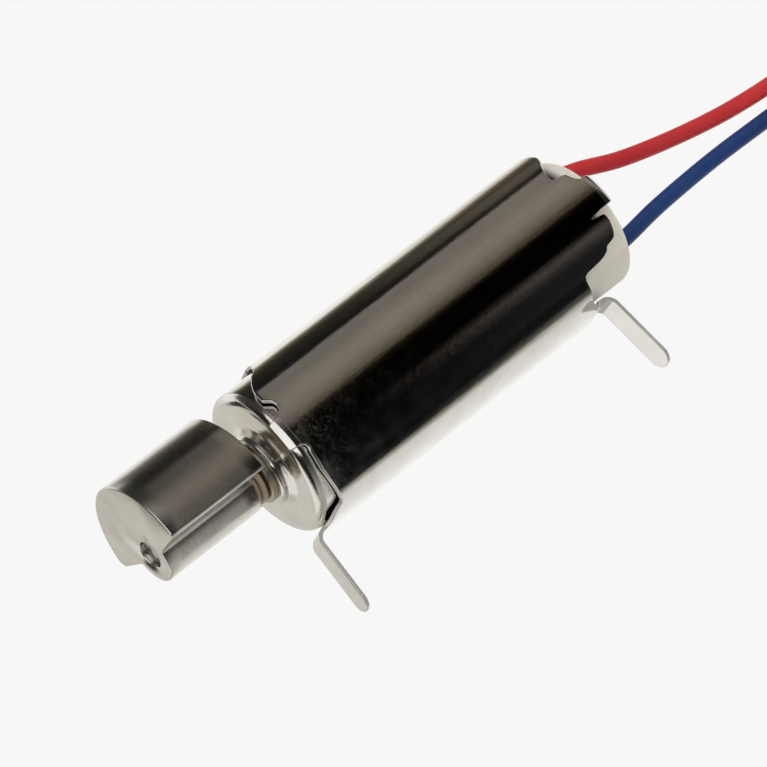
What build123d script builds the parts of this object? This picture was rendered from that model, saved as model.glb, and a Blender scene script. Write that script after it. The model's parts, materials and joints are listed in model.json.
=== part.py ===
from build123d import *
import os
from math import sin, cos, tan, radians, sqrt, pi

# Cylindrical coreless vibration motor in a rolled sheet-metal board bracket.
# Millimetres. The motor axis is the X axis, the origin is on that axis at the
# flat front face of the can. -X (front) is the weight end, +X (rear) the lead
# end, +Z up, and the two bracket legs point down (-Z) into the board.
# Names ending in _X0 and _X1 are the front and rear ends of a piece.

# ---------------------------------------------------------------- shared sizes
CAN_R = 2.00
CAN_REAR_X = 9.15      # open end of the can
CAN_FRONT_WALL = 0.25
CAN_RIM_R = 0.25       # rounded shoulder round the front face
BOSS_X = -0.25         # front of the drawn bearing boss

SHAFT_R = 0.35
BUSH_R = 0.60
BUSH_BORE_R = SHAFT_R + 0.02   # with radial running clearance
CARRIER_R = 0.75       # brass tube that carries the bushes and the magnet

MAGNET_R = 1.32
MAGNET_X0, MAGNET_X1 = 0.55, 6.90
COIL_RI, COIL_RO = 1.42, 1.66
COIL_X0, COIL_X1 = 0.75, 7.30
HUB_DISC_X1 = 7.80
COMM_CORE_R = 0.48
COMM_R = 0.62
COMM_X0, COMM_X1 = 7.95, 9.20

# Plain rings: front x, rear x, outer radius, bore radius
RINGS = {
    "rear_bearing": (6.00, 7.16, BUSH_R, BUSH_BORE_R),
    "magnet": (MAGNET_X0, MAGNET_X1, MAGNET_R, CARRIER_R),
    "winding": (COIL_X0, COIL_X1, COIL_RO, COIL_RI),
    "thrust_washer": (-0.78, -0.66, 0.63, SHAFT_R),
    "spacer_washer": (-0.63, -0.49, 0.70, SHAFT_R),
    "rear_washer": (7.20, COIL_X1, 0.55, SHAFT_R),
}


# ---------------------------------------------------------------- helpers
def cyl(x0, x1, radius):
    return extrude(Plane.YZ.offset(x0) * Circle(radius), amount=x1 - x0)


def tube(x0, x1, outer_r, bore_r):
    return cyl(x0, x1, outer_r) - cyl(x0 - 0.01, x1 + 0.01, bore_r)


def box(x0, x1, y0, y1, z0, z1):
    centre = Pos((x0 + x1) / 2, (y0 + y1) / 2, (z0 + z1) / 2)
    return centre * Box(x1 - x0, y1 - y0, z1 - z0)


def sided_box(side, x0, x1, y0, y1, z0, z1):
    """Box given for the upper side (+1); side -1 gives it half a turn about X."""
    if side > 0:
        return box(x0, x1, y0, y1, z0, z1)
    return box(x0, x1, -y1, -y0, -z1, -z0)


def xz_face(points):
    return make_face(Plane.XZ * Polyline(*points, close=True))


def revolved(points, start_deg=0.0, span=360.0):
    """(x, radius) profile turned about X. Angle 0 is +Z, positive towards -Y."""
    return Rot(start_deg, 0, 0) * revolve(xz_face(points), Axis.X, span)


def end_edges(solid, end):
    """Edges at the front (0) or rear (-1) end."""
    return solid.edges().group_by(Axis.X)[end]


def largest(shape):
    return max(shape.solids(), key=lambda solid: solid.volume)


# ---------------------------------------------------------------- can and bearings
CAN_WALL = 0.20
BOSS_R = 0.98
BOSS_ROUND = 0.10
BOSS_ROOT_X = 0.10     # boss and foot run this far into the front wall
FOOT_FLARE = 0.22      # the boss's conical foot spreads this far
FOOT_X = -0.10         # and starts here

BUSH_FLANGE_R = 0.80
BUSH_FLANGE_X = -0.43
FRONT_BUSH_X1 = 1.30
CARRIER_X1 = 7.10
CARRIER_FLANGE_R = 1.15
CARRIER_FLANGE_GAP = 0.05   # flange to magnet


def motor_can():
    body = cyl(0, CAN_REAR_X, CAN_R)
    body = fillet(end_edges(body, 0), CAN_RIM_R)
    boss = cyl(BOSS_X, BOSS_ROOT_X, BOSS_R)
    boss = fillet(end_edges(boss, 0), BOSS_ROUND)
    foot_r = BOSS_R + FOOT_FLARE
    foot = revolved([(BOSS_ROOT_X, 0.0), (BOSS_ROOT_X, foot_r), (0.0, foot_r),
                     (FOOT_X, BOSS_R), (FOOT_X, 0.0)])
    can = body + boss + foot
    can -= cyl(CAN_FRONT_WALL, CAN_REAR_X + 1, CAN_R - CAN_WALL)
    can -= cyl(BOSS_X - 1, CAN_FRONT_WALL + 0.1, BUSH_R)
    return can


def front_bearing():
    bush = cyl(BUSH_FLANGE_X, BOSS_X, BUSH_FLANGE_R)
    bush = chamfer(end_edges(bush, 0), 0.05)
    bush += cyl(BOSS_X, FRONT_BUSH_X1, BUSH_R)
    return bush - cyl(-1, 2, BUSH_BORE_R)


def bearing_tube():
    carrier = tube(CAN_FRONT_WALL, CARRIER_X1, CARRIER_R, BUSH_R)
    flange_x1 = MAGNET_X0 - CARRIER_FLANGE_GAP
    return carrier + tube(CAN_FRONT_WALL, flange_x1, CARRIER_FLANGE_R, BUSH_R)


# ---------------------------------------------------------------- rotor
SHAFT_X0, SHAFT_X1 = -3.60, 9.35
SHAFT_CHAMFER = 0.05
HUB_SPIGOT_X0 = 6.95          # hub's collar inside the coil
HUB_SPIGOT_RI = MAGNET_R - 0.15
HUB_CORE_X1 = 9.30            # end of the core under the commutator
SEGMENTS = 3
SEGMENT_PITCH = 360 // SEGMENTS
SLOT_HALF_W = 0.04            # gap between segments
RISER_T = 0.10
RISER_R = 1.02
RISER_CUT_HALF_W = 0.47       # cuts that leave one narrow tag per segment
RISER_CUT_ANGLE = 42
CUT_REACH = 1.2               # radius the cuts reach, clear of the risers
JOINT_HALF_W = 0.13
JOINT_RI, JOINT_RO = 0.80, 1.00


def shaft():
    rod = cyl(SHAFT_X0, SHAFT_X1, SHAFT_R)
    rod = chamfer(end_edges(rod, 0), SHAFT_CHAMFER)
    return chamfer(end_edges(rod, -1), SHAFT_CHAMFER)


def winding_hub():
    hub = cyl(COIL_X1, HUB_DISC_X1, COIL_RO)
    hub = chamfer(end_edges(hub, -1), 0.08)
    hub += (cyl(HUB_SPIGOT_X0, COIL_X1 + 0.05, COIL_RI)
            - cyl(HUB_SPIGOT_X0 - 0.01, COIL_X1, HUB_SPIGOT_RI))
    hub += cyl(HUB_DISC_X1 - 0.01, HUB_CORE_X1, COMM_CORE_R)
    return hub - cyl(6, 10, SHAFT_R)


def commutator():
    riser_x1 = COMM_X0 + RISER_T
    ring = (tube(COMM_X0, COMM_X1, COMM_R, COMM_CORE_R)
            + tube(COMM_X0, riser_x1, RISER_R, COMM_CORE_R))
    slot = box(7, 10, -SLOT_HALF_W, SLOT_HALF_W, 0, CUT_REACH)
    for k in range(SEGMENTS):
        ring -= Rot(SEGMENT_PITCH * (k + 0.5), 0, 0) * slot
    riser_cut = box(COMM_X0 - 0.05, riser_x1 + 0.001, -RISER_CUT_HALF_W, RISER_CUT_HALF_W,
                    COMM_R + 0.005, CUT_REACH)
    for k in range(SEGMENTS):
        for side in (-1, 1):
            ring -= Rot(SEGMENT_PITCH * k + side * RISER_CUT_ANGLE, 0, 0) * riser_cut
    return ring


def coil_joints():
    """One block per riser, between the hub disc and the riser."""
    block = box(HUB_DISC_X1, COMM_X0, -JOINT_HALF_W, JOINT_HALF_W, JOINT_RI, JOINT_RO)
    joints = block
    for k in range(1, SEGMENTS):
        joints += Rot(SEGMENT_PITCH * k, 0, 0) * block
    return joints


# ---------------------------------------------------------------- eccentric weight
WEIGHT_X0, WEIGHT_X1 = -3.73, -0.80
WEIGHT_R = 1.96        # large radius of the tungsten half disc
WEIGHT_HUB_R = 0.77    # small radius round the shaft
FLAT_OFFSET = 0.20     # flats sit this far below the axis
FLAT_TILT = 8.0        # and rise outwards by this angle, degrees
WEIGHT_ANGLE = 11.0    # heavy side at rest, degrees from +Z towards -Y
TIP_ROUNDS = ((1, 0.26), (-1, 0.10))   # side in Y, radius of the outer corner
HUB_CORNER_R = 0.10
WEIGHT_CHAMFER = 0.035


def eccentric_weight():
    """Half disc with tilted flats and a small hub; drawn heavy side up, then turned."""
    tilt = radians(FLAT_TILT)
    reach = 3
    reach_z = -FLAT_OFFSET + reach * tan(tilt)
    sector = make_face(Polyline((0, reach), (-reach, reach), (-reach, reach_z),
                                (0, -FLAT_OFFSET), (reach, reach_z), (reach, reach),
                                close=True))
    profile = Circle(WEIGHT_R) & sector
    # where the flats meet the large radius
    flat_length = FLAT_OFFSET * sin(tilt) + sqrt(WEIGHT_R ** 2 - (FLAT_OFFSET * cos(tilt)) ** 2)
    tip_y = flat_length * cos(tilt)
    for side, radius in TIP_ROUNDS:
        tips = [p for p in profile.vertices() if abs(side * p.X - tip_y) < 0.05]
        profile = fillet(tips, radius)
    profile = profile + Circle(WEIGHT_HUB_R)
    inner = [p for p in profile.vertices() if 0.55 < abs(p.X) < 0.80 and abs(p.Y) < 0.35]
    # leaves the hub corners sharp if they can't be rounded
    try:
        profile = fillet(inner, HUB_CORNER_R)
    except Exception:
        pass
    weight = extrude(Plane.YZ.offset(WEIGHT_X0) * profile, amount=WEIGHT_X1 - WEIGHT_X0)
    # leaves the end edges sharp if they can't be chamfered
    try:
        ends = weight.edges().filter_by(lambda e: abs(e.center().X - WEIGHT_X0) < 1e-3
                                        or abs(e.center().X - WEIGHT_X1) < 1e-3)
        weight = chamfer(ends, WEIGHT_CHAMFER)
    except Exception:
        pass
    weight -= cyl(-5, 0, SHAFT_R)
    return Rot(WEIGHT_ANGLE, 0, 0) * weight


# ---------------------------------------------------------------- end cap and terminals
# y and z are for the upper terminal; the lower one is half a turn about X away
SIDES = {"upper": 1, "lower": -1}
CAP_R = 1.80
CAP_X0, CAP_X1 = 8.30, 10.90
CAP_ROUND = 0.12
CAVITY_R = 1.46
CAVITY_X1 = 9.75
CUT_X0, CUT_X1 = 8.0, 11.2      # clear of both ends of the cap
POCKET_X0 = 10.45               # floor of the soldering pockets
POCKET_HALF_W = 0.52
POCKET_Z = (0.80, 1.62)         # open to the rim
POCKET_ROUND = 0.12

TERM_Z = (1.262, 1.262 + 0.10)  # strip 0.10 thick
TERM_Y = (-0.78, 0.40)          # wide part, inside the cavity
TERM_TAIL_HALF_W = 0.40
TERM_X0, TERM_X1 = 8.20, 10.80
FORK_X0, FORK_HALF_W = 10.40, 0.17

BRUSH_X = (8.25, 8.95)
BRUSH_Y = (-0.72, -0.64)
BRUSH_TIP_Z = -0.45
BRUSH_SLOT_X = (8.56, 8.64)
BRUSH_SLOT_LENGTH = 0.75


def end_cap():
    cap = cyl(CAP_X0, CAP_X1, CAP_R)
    cap = fillet(end_edges(cap, -1), CAP_ROUND)
    cap -= cyl(CUT_X0, CAVITY_X1, CAVITY_R)
    for side in SIDES.values():
        pocket = sided_box(side, POCKET_X0, CUT_X1, -POCKET_HALF_W, POCKET_HALF_W, *POCKET_Z)
        cap -= fillet(pocket.edges().filter_by(Axis.X), POCKET_ROUND)
        cap -= sided_box(side, CUT_X0, CUT_X1, *TERM_Y, *TERM_Z)
    # close the slot beside each strip's narrow tail
    for side in SIDES.values():
        cap += sided_box(side, CAVITY_X1, POCKET_X0, TERM_Y[0] - 0.01, -TERM_TAIL_HALF_W,
                         *TERM_Z)
    return cap


def terminal(side):
    """Flat strip through the cap wall."""
    strip = sided_box(side, TERM_X0, CAVITY_X1, *TERM_Y, *TERM_Z)
    strip += sided_box(side, CAVITY_X1 - 0.01, TERM_X1, -TERM_TAIL_HALF_W, TERM_TAIL_HALF_W,
                       *TERM_Z)
    if side > 0:
        # forked end that holds the wire, upper strip only
        strip -= box(FORK_X0, TERM_X1 + 0.1, -FORK_HALF_W, FORK_HALF_W,
                     TERM_Z[0] - 0.01, TERM_Z[1] + 0.01)
    return strip


def brush(side):
    """Slotted leaf beside the commutator, reaching from its terminal strip."""
    leaf = sided_box(side, *BRUSH_X, *BRUSH_Y, BRUSH_TIP_Z, TERM_Z[0])
    return leaf - sided_box(side, *BRUSH_SLOT_X, BRUSH_Y[0] - 0.1, BRUSH_Y[1] + 0.1,
                            BRUSH_TIP_Z - 0.1, BRUSH_TIP_Z + BRUSH_SLOT_LENGTH)


# ---------------------------------------------------------------- leads
LEAD_R = 0.43 / 2
CORE_R = 0.11
CORE_X0, CORE_X1 = 10.50, 21.80
JACKET_X0, JACKET_X1 = 10.80, 20.30
BEND_X0 = 10.95        # straight up to here, and again from JACKET_X1
SOLDER_X = (10.46, 10.79)
SOLDER_HALF_W = 0.30
SOLDER_ROUND = 0.14
BEAD_FOOT_X = (10.80, 10.92)
BEAD_FOOT_HALF_W = 0.44
BEAD_CLEAR = 0.006     # keeps the bead's bore off the lead

# Bead profile: x, radius from the lead's axis
BEAD_OUTLINE = [(10.91, LEAD_R), (10.91, 0.40), (10.98, 0.39), (11.06, 0.35),
                (11.14, 0.28), (11.22, LEAD_R)]

# path: (x, z) points between the straight ends; the rest are z values
LEADS = {
    "red": dict(
        place="upper", start_z=1.30, end_z=-0.22,
        path=[(11.8, 1.09), (12.8, 0.69), (13.8, 0.405), (15.0, 0.14), (16.2, -0.06),
              (17.6, -0.19)],
        solder_z=(0.98, 1.56), bead_foot_z=(0.90, 1.58)),
    "blue": dict(
        place="lower", start_z=-1.07, end_z=-0.90,
        path=[(11.7, -1.01), (12.7, -0.905), (13.9, -0.845), (15.2, -0.82), (16.9, -0.85)],
        solder_z=(-1.56, -0.86), bead_foot_z=(-1.50, -0.82)),
}


def lead_rod(lead, radius):
    """Round rod along the whole lead."""
    start_z, end_z = lead["start_z"], lead["end_z"]
    bend_start = (BEND_X0, 0, start_z)
    bend_end = (JACKET_X1, 0, end_z)
    first = Line((CORE_X0, 0, start_z), bend_start)
    curve = Spline(bend_start, *[(x, 0, z) for x, z in lead["path"]], bend_end,
                   tangents=[(1, 0, 0), (1, 0, 0)])
    last = Line(bend_end, (CORE_X1, 0, end_z))
    path = Wire([*first.edges(), *curve.edges(), *last.edges()])
    start = Plane(origin=(CORE_X0, 0, start_z), z_dir=(1, 0, 0), x_dir=(0, 1, 0))
    return sweep(start * Circle(radius), path=path)


def lead_jacket(lead, core):
    jacket = lead_rod(lead, LEAD_R)
    jacket &= box(JACKET_X0, JACKET_X1, -2, 2, -3, 3)
    return jacket - core


def solder(lead, core, strip):
    joint = box(*SOLDER_X, -SOLDER_HALF_W, SOLDER_HALF_W, *lead["solder_z"])
    joint = fillet(joint.edges().filter_by(Axis.X), SOLDER_ROUND)
    joint -= core
    joint -= strip
    return largest(joint)


def adhesive(lead):
    """Clear bead round the lead where it leaves the cap; its foot fills the pocket mouth."""
    bead = Pos(0, 0, lead["start_z"]) * revolved(BEAD_OUTLINE)
    bead = bead + box(*BEAD_FOOT_X, -BEAD_FOOT_HALF_W, BEAD_FOOT_HALF_W, *lead["bead_foot_z"])
    return bead - lead_rod(lead, LEAD_R + BEAD_CLEAR)


# ---------------------------------------------------------------- bracket
SHEET = 0.10
SLEEVE_RI = CAN_R + 0.065
SLEEVE_RO = SLEEVE_RI + SHEET
SEAM = 0.08            # butt gap of the rolled sheet, on top
LEG_W = 0.71
LEG_BEND = 0.30        # bend radius at mid thickness
LEG_SPLAY = 4.0        # each leg leans outwards, degrees
LEG_PITCH = 10.16      # nominal spacing of the legs
FRONT_LEG_X = -0.285
REAR_LEG_X = FRONT_LEG_X + LEG_PITCH + 0.09
FRONT_TIP_Z = -4.31
REAR_TIP_Z = -4.19
PAD_Z = -2.18          # underside of the flat tongue roots: the board seat
TONGUE_LENGTH = 0.62   # from root to bend
REAR_RISE = 0.18       # the rear tongue climbs this far before its leg turns down
RISE_START = -0.46     # x from the bend
RISE_RUN = 0.36
RISE_STEPS = 8
BEND_STEPS = 14
REAR_LEG_TWIST = 10.0  # the rear leg's bend line is off square, degrees
TWIST_PIVOT = 0.2      # twist axis, this far in front of the bend
TAB_CURL = 50          # degrees
TAB_STEPS = 10
FRONT_TAB = (78.25, 101.75)   # degrees from +Z round each side
REAR_TAB = (75.6, 100.4)
REAR_CURL_X = 10.62    # rear edge of the sleeve, where the rear tabs start
REAR_CURL_R = 0.25

# Side view (x, z) of the sleeve's ends: front edge downwards, rear edge upwards
FRONT_EDGE = [
    (1.30, 2.30), (1.30, 2.115), (1.25, 2.09), (1.15, 1.987), (1.02, 1.867), (0.90, 1.753),
    (0.78, 1.70), (0.66, 1.64), (0.52, 1.55), (0.38, 1.38), (0.30, 1.10), (0.28, 0.98),
    (0.36, 0.92), (0.44, 0.82), (0.46, 0.70), (0.43, 0.58), (0.34, 0.49), (0.25, 0.46),
    (0.25, -0.46), (0.30, -0.50), (0.34, -0.58), (0.32, -0.70), (0.32, -1.18), (0.38, -1.45),
    (0.46, -1.71), (0.53, -1.92), (0.55, -2.05), (0.55, -2.30)]
REAR_EDGE = [
    (9.17, -2.30), (9.17, -1.68), (9.13, -1.55), (9.12, -1.45), (9.15, -1.37), (9.25, -1.335),
    (9.45, -1.33), (9.70, -1.31), (9.88, -1.27), (10.00, -1.22), (10.07, -1.13),
    (10.27, -1.10), (10.36, -1.06), (10.43, -0.88), (10.46, -0.70), (10.45, -0.60),
    (10.40, -0.54), (10.25, -0.525), (10.09, -0.51), (10.06, -0.47), (10.12, -0.42),
    (10.22, -0.40), (REAR_CURL_X, -0.40), (REAR_CURL_X, 0.545), (10.54, 0.57), (10.467, 0.69),
    (10.43, 0.84), (10.38, 0.87), (10.25, 0.885), (10.10, 0.90), (10.045, 0.94),
    (10.06, 1.05), (10.12, 1.21), (10.22, 1.36), (10.33, 1.50), (10.42, 1.57), (10.50, 1.67),
    (10.53, 1.73), (10.53, 2.30)]

# Plan view (x, y) of the tongue roots, -Y half; the +Y half mirrors it
FRONT_ROOT = [(0.80, -0.95), (0.56, -0.95), (0.50, -0.82), (0.36, -0.70), (0.20, -0.57),
              (0.05, -0.46), (-0.02, -LEG_W / 2)]
REAR_ROOT = [(9.00, -0.95), (9.15, -0.95), (9.19, -0.80), (9.22, -0.64), (9.25, -0.52),
             (9.28, -0.42), (9.30, -LEG_W / 2)]


def rolled_sheet():
    return tube(-0.5, 11.0, SLEEVE_RO, SLEEVE_RI)


def leg(direction, tip_z, rise):
    """Strip along the can, then bent down. Direction -1 front, +1 rear; bend starts at x = 0."""
    root_z = PAD_Z + SHEET / 2
    bend_z = root_z + rise
    centre_z = bend_z - LEG_BEND
    # mid-plane stations: x, z, normal x, normal z
    stations = [(-TONGUE_LENGTH, root_z, 0.0, 1.0)]
    if rise:
        for k in range(RISE_STEPS + 1):
            u = k / RISE_STEPS
            slope = rise / RISE_RUN * 6 * u * (1 - u)
            norm = sqrt(1 + slope * slope)
            stations.append((RISE_START + RISE_RUN * u, root_z + rise * u * u * (3 - 2 * u),
                             -slope / norm, 1 / norm))
    stations.append((0.0, bend_z, 0.0, 1.0))
    span = pi / 2 - radians(LEG_SPLAY)
    for k in range(1, BEND_STEPS + 1):
        angle = span * k / BEND_STEPS
        stations.append((LEG_BEND * sin(angle), centre_z + LEG_BEND * cos(angle),
                         sin(angle), cos(angle)))
    x, z, normal_x, normal_z = stations[-1]
    drop = (z - tip_z) / normal_x
    stations.append((x + normal_z * drop, z - normal_x * drop, normal_x, normal_z))

    half = SHEET / 2
    outer = [(direction * (x + nx * half), z + nz * half) for x, z, nx, nz in stations]
    inner = [(direction * (x - nx * half), z - nz * half) for x, z, nx, nz in stations]
    strip = extrude(xz_face(outer + inner[::-1]), amount=LEG_W / 2, both=True)
    # round the tip
    tip_r = LEG_W / 2
    keep = Pos(0, 3.0) * Rectangle(LEG_W + 0.02, 6) + Circle(tip_r)
    keeper = extrude(Plane.YZ.offset(-3) * keep, amount=6)
    return strip & (Pos(0, 0, tip_z + tip_r) * keeper)


def curl_outline(direction, centre_x, inner_r):
    """(x, radius) outline of a tab curling in from the sleeve. Direction -1 front, +1 rear."""
    centre_r = SLEEVE_RI - inner_r
    angles = [radians(TAB_CURL * k / TAB_STEPS) for k in range(TAB_STEPS + 1)]
    outer, inner = [[(centre_x + direction * r * sin(a), centre_r + r * cos(a)) for a in angles]
                    for r in (inner_r + SHEET, inner_r)]
    return outer + inner[::-1]


def mounting_bracket():
    side_view = xz_face(FRONT_EDGE + REAR_EDGE)
    sleeve = rolled_sheet() & extrude(side_view, amount=3.0, both=True)
    for half in (FRONT_ROOT, REAR_ROOT):
        outline = half + [(x, -y) for x, y in reversed(half)]
        root = make_face(Polyline(*outline, close=True))
        sleeve += rolled_sheet() & extrude(root, amount=-3.0)

    front_leg = Pos(FRONT_LEG_X + LEG_BEND, 0, 0) * leg(-1, FRONT_TIP_Z, 0.0)
    rear_place = (Pos(REAR_LEG_X - LEG_BEND - TWIST_PIVOT, 0, 0) * Rot(0, 0, REAR_LEG_TWIST)
                  * Pos(TWIST_PIVOT, 0, 0))
    rear_leg = rear_place * leg(1, REAR_TIP_Z, REAR_RISE)
    sleeve = sleeve + front_leg + rear_leg

    # front tabs curl over the can's shoulder, rear tabs over the cap's edge
    front_curl = curl_outline(-1, CAN_RIM_R, SLEEVE_RI - (CAN_R - CAN_RIM_R))
    rear_curl = curl_outline(1, REAR_CURL_X, REAR_CURL_R)
    for outline, (low, high) in ((front_curl, FRONT_TAB), (rear_curl, REAR_TAB)):
        sleeve += revolved(outline, low, high - low)
        sleeve += revolved(outline, -high, high - low)

    sleeve -= box(-1, 12, -SEAM / 2, SEAM / 2, 1.0, 3.0)
    sleeve -= cyl(0.0, CAN_REAR_X, CAN_R)      # keeps the bracket out of the can
    return largest(sleeve)


# ---------------------------------------------------------------- build and export
nodes = {name: tube(*sizes) for name, sizes in RINGS.items()}
for build in (motor_can, front_bearing, bearing_tube, shaft, winding_hub, commutator,
              coil_joints, eccentric_weight, end_cap, mounting_bracket):
    nodes[build.__name__] = build()
for place, side in SIDES.items():
    nodes[f"terminal_{place}"] = terminal(side)
    nodes[f"brush_{place}"] = brush(side)
for colour, lead in LEADS.items():
    place = lead["place"]
    core = lead_rod(lead, CORE_R)
    nodes[f"lead_{colour}_core"] = core
    nodes[f"lead_{colour}_jacket"] = lead_jacket(lead, core)
    nodes[f"solder_{place}"] = solder(lead, core, nodes[f"terminal_{place}"])
    nodes[f"adhesive_{place}"] = adhesive(lead)

os.makedirs("parts", exist_ok=True)
for name, shape in nodes.items():
    export_step(shape, f"parts/{name}.step")
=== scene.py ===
"""A cylindrical motor with a half-disc weight, a rolled sheet bracket and two leads.

The motor's axis is X: the can's front face is at x = 0, the weight stands in front of it (-X),
the end cap and the leads are at the rear (+X), and the bracket's two legs point down (-Z).
"Near" is the -Y side, "far" is +Y. Sizes are in millimetres and go into Blender in metres.
"""
import json
import bmesh
import bpy
import numpy as np
from math import sin, cos, tan, radians, degrees, sqrt, pi, asin, atan2
from mathutils import Matrix, Vector


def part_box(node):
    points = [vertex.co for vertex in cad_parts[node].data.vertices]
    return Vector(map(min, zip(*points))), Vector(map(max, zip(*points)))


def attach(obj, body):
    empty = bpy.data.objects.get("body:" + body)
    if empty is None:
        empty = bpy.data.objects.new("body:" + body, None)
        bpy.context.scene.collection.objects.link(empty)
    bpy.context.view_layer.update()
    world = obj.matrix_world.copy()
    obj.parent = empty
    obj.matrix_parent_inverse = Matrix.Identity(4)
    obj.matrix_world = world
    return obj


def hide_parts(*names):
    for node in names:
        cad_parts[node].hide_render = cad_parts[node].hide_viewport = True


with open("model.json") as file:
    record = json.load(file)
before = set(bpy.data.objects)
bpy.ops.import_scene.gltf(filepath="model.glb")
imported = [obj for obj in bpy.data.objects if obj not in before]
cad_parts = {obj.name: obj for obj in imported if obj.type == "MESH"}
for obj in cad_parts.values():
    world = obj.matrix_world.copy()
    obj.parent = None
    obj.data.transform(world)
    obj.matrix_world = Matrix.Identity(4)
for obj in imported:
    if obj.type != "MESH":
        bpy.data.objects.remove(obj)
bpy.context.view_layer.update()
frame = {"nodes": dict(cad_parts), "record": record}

scene = bpy.context.scene
MM = 0.001


# ------------------------------------------------------------------ driving dimensions
def cad_box(node):
    """Low and high corner of a CAD piece."""
    return [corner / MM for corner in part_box(node)]


CAN_REAR_X = cad_box("motor_can")[1].x
BRACKET_LOW_Z = cad_box("mounting_bracket")[0].z
WEIGHT_X = [corner.x for corner in cad_box("eccentric_weight")]
CAP_REAR_X = cad_box("end_cap")[1].x
JACKET_END_X = cad_box("lead_red_jacket")[1].x
SHAFT_X = [corner.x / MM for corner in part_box("shaft")]

CAN_R = 2.0
CAN_R_IN = 1.80
CAN_CORNER = 0.25               # rounding of the can's front edge
BOSS_X = -0.25                  # front face of the can's boss
BUSH_R = 0.60                   # the bush fills the can's front hole

SHEET = 0.10                    # thickness of the bracket's sheet
HALF = SHEET / 2
SLEEVE_R_IN = 2.065
R_MID = SLEEVE_R_IN + HALF      # mid surface of the sleeve

LEAD_START_X = 10.80
RED_EXIT_Z = 1.30
BLUE_EXIT_Z = -1.07


# ------------------------------------------------------------------ mesh helpers
def new_object(name, data):
    piece = bpy.data.objects.new(name, data)
    scene.collection.objects.link(piece)
    return piece


def shade(bm, sharp):
    """Smooth faces, with a sharp edge wherever the faces turn by `sharp` degrees or more."""
    for face in bm.faces:
        face.smooth = True
    limit = radians(sharp)
    for edge in bm.edges:
        if len(edge.link_faces) == 2:
            edge.smooth = edge.calc_face_angle(0.0) < limit


def mesh_of(name, verts, faces):
    mesh = bpy.data.meshes.new(name)
    mesh.from_pydata([(x * MM, y * MM, z * MM) for x, y, z in verts], [], faces)
    return mesh


def make_object(name, verts, faces, sharp):
    mesh = mesh_of(name, verts, faces)
    mesh.validate()
    piece = new_object(name, mesh)
    bm = bmesh.new()
    bm.from_mesh(mesh)
    bmesh.ops.remove_doubles(bm, verts=bm.verts, dist=1e-8)
    bmesh.ops.recalc_face_normals(bm, faces=bm.faces)
    shade(bm, sharp)
    bm.to_mesh(mesh)
    bm.free()
    return piece


def evaluated_mesh(piece):
    """New mesh holding the piece with its modifiers or curve bevel applied."""
    depsgraph = bpy.context.evaluated_depsgraph_get()
    return bpy.data.meshes.new_from_object(piece.evaluated_get(depsgraph))


def add_ring(verts, points):
    """Adds the points to verts and returns their vertex numbers."""
    first = len(verts)
    verts.extend(points)
    return list(range(first, len(verts)))


def bridge(rings):
    """Quads between neighbouring closed rings of vertex numbers."""
    faces = []
    for ring, after in zip(rings[:-1], rings[1:]):
        for k in range(len(ring)):
            k2 = (k + 1) % len(ring)
            faces.append((ring[k], ring[k2], after[k2], after[k]))
    return faces


def lathe(name, profile, seg, sharp):
    """Closed (x, radius) profile turned about the X axis."""
    verts, rings = [], []
    for j in range(seg):
        angle = 2 * pi * j / seg
        rings.append(add_ring(verts, [(x, -r * sin(angle), r * cos(angle)) for x, r in profile]))
    return make_object(name, verts, bridge(rings + rings[:1]), sharp)


def quarter_arc(centre_x, centre_r, radius, steps):
    """Arc in the (x, radius) plane, turning from outward to -X."""
    angles = [radians(90 * k / steps) for k in range(steps + 1)]
    return [(centre_x - radius * sin(t), centre_r + radius * cos(t)) for t in angles]


def unit_tangents(points):
    tangents = np.gradient(points, axis=0)
    return tangents / np.linalg.norm(tangents, axis=1)[:, None]


def sweep_tube(name, path, r_out, r_in, seg, rough, seed):
    """Hollow round tube along points in the XZ plane, a little uneven, with softened ends."""
    centres = np.array(path, float)
    tangents = unit_tangents(centres)
    side = np.array([0.0, 1.0, 0.0])
    noise = np.random.RandomState(seed).randn(len(centres) + 30)
    wobble = np.convolve(noise, np.hanning(31) / 15.5, "valid")[: len(centres)]
    verts, rings = [], []

    def ring(centre, tangent, radius):
        normal = np.cross(tangent, side)
        normal /= np.linalg.norm(normal)
        angles = [2 * pi * k / seg for k in range(seg)]
        rings.append(add_ring(verts, [tuple(centre + radius * (cos(a) * side + sin(a) * normal))
                                      for a in angles]))

    soft = min(0.03, r_out * 0.2)
    start, start_dir = centres[0], tangents[0]
    stop, stop_dir = centres[-1], tangents[-1]
    ring(start, start_dir, r_in)
    ring(start, start_dir, r_out - soft)
    ring(start + start_dir * soft * 0.3, start_dir, r_out - soft * 0.3)
    for i, (centre, tangent) in enumerate(zip(centres, tangents)):
        if i == 0:
            centre = centre + tangent * soft
        if i == len(centres) - 1:
            centre = centre - tangent * soft
        ring(centre, tangent, r_out * (1 + rough * wobble[i]))
    ring(stop - stop_dir * soft * 0.3, stop_dir, r_out - soft * 0.3)
    ring(stop, stop_dir, r_out - soft)
    ring(stop, stop_dir, r_in)
    for centre, tangent in zip(centres[::-1], tangents[::-1]):
        ring(centre, tangent, r_in)
    return make_object(name, verts, bridge(rings + rings[:1]), 60)


def finish_piece(piece, body, node, slot):
    """Gives the piece its material, hangs it under its body and hides the CAD node it stands for."""
    piece.data.materials.clear()
    piece.data.materials.append(MATERIALS[slot])
    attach(piece, body)
    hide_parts(node)


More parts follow.
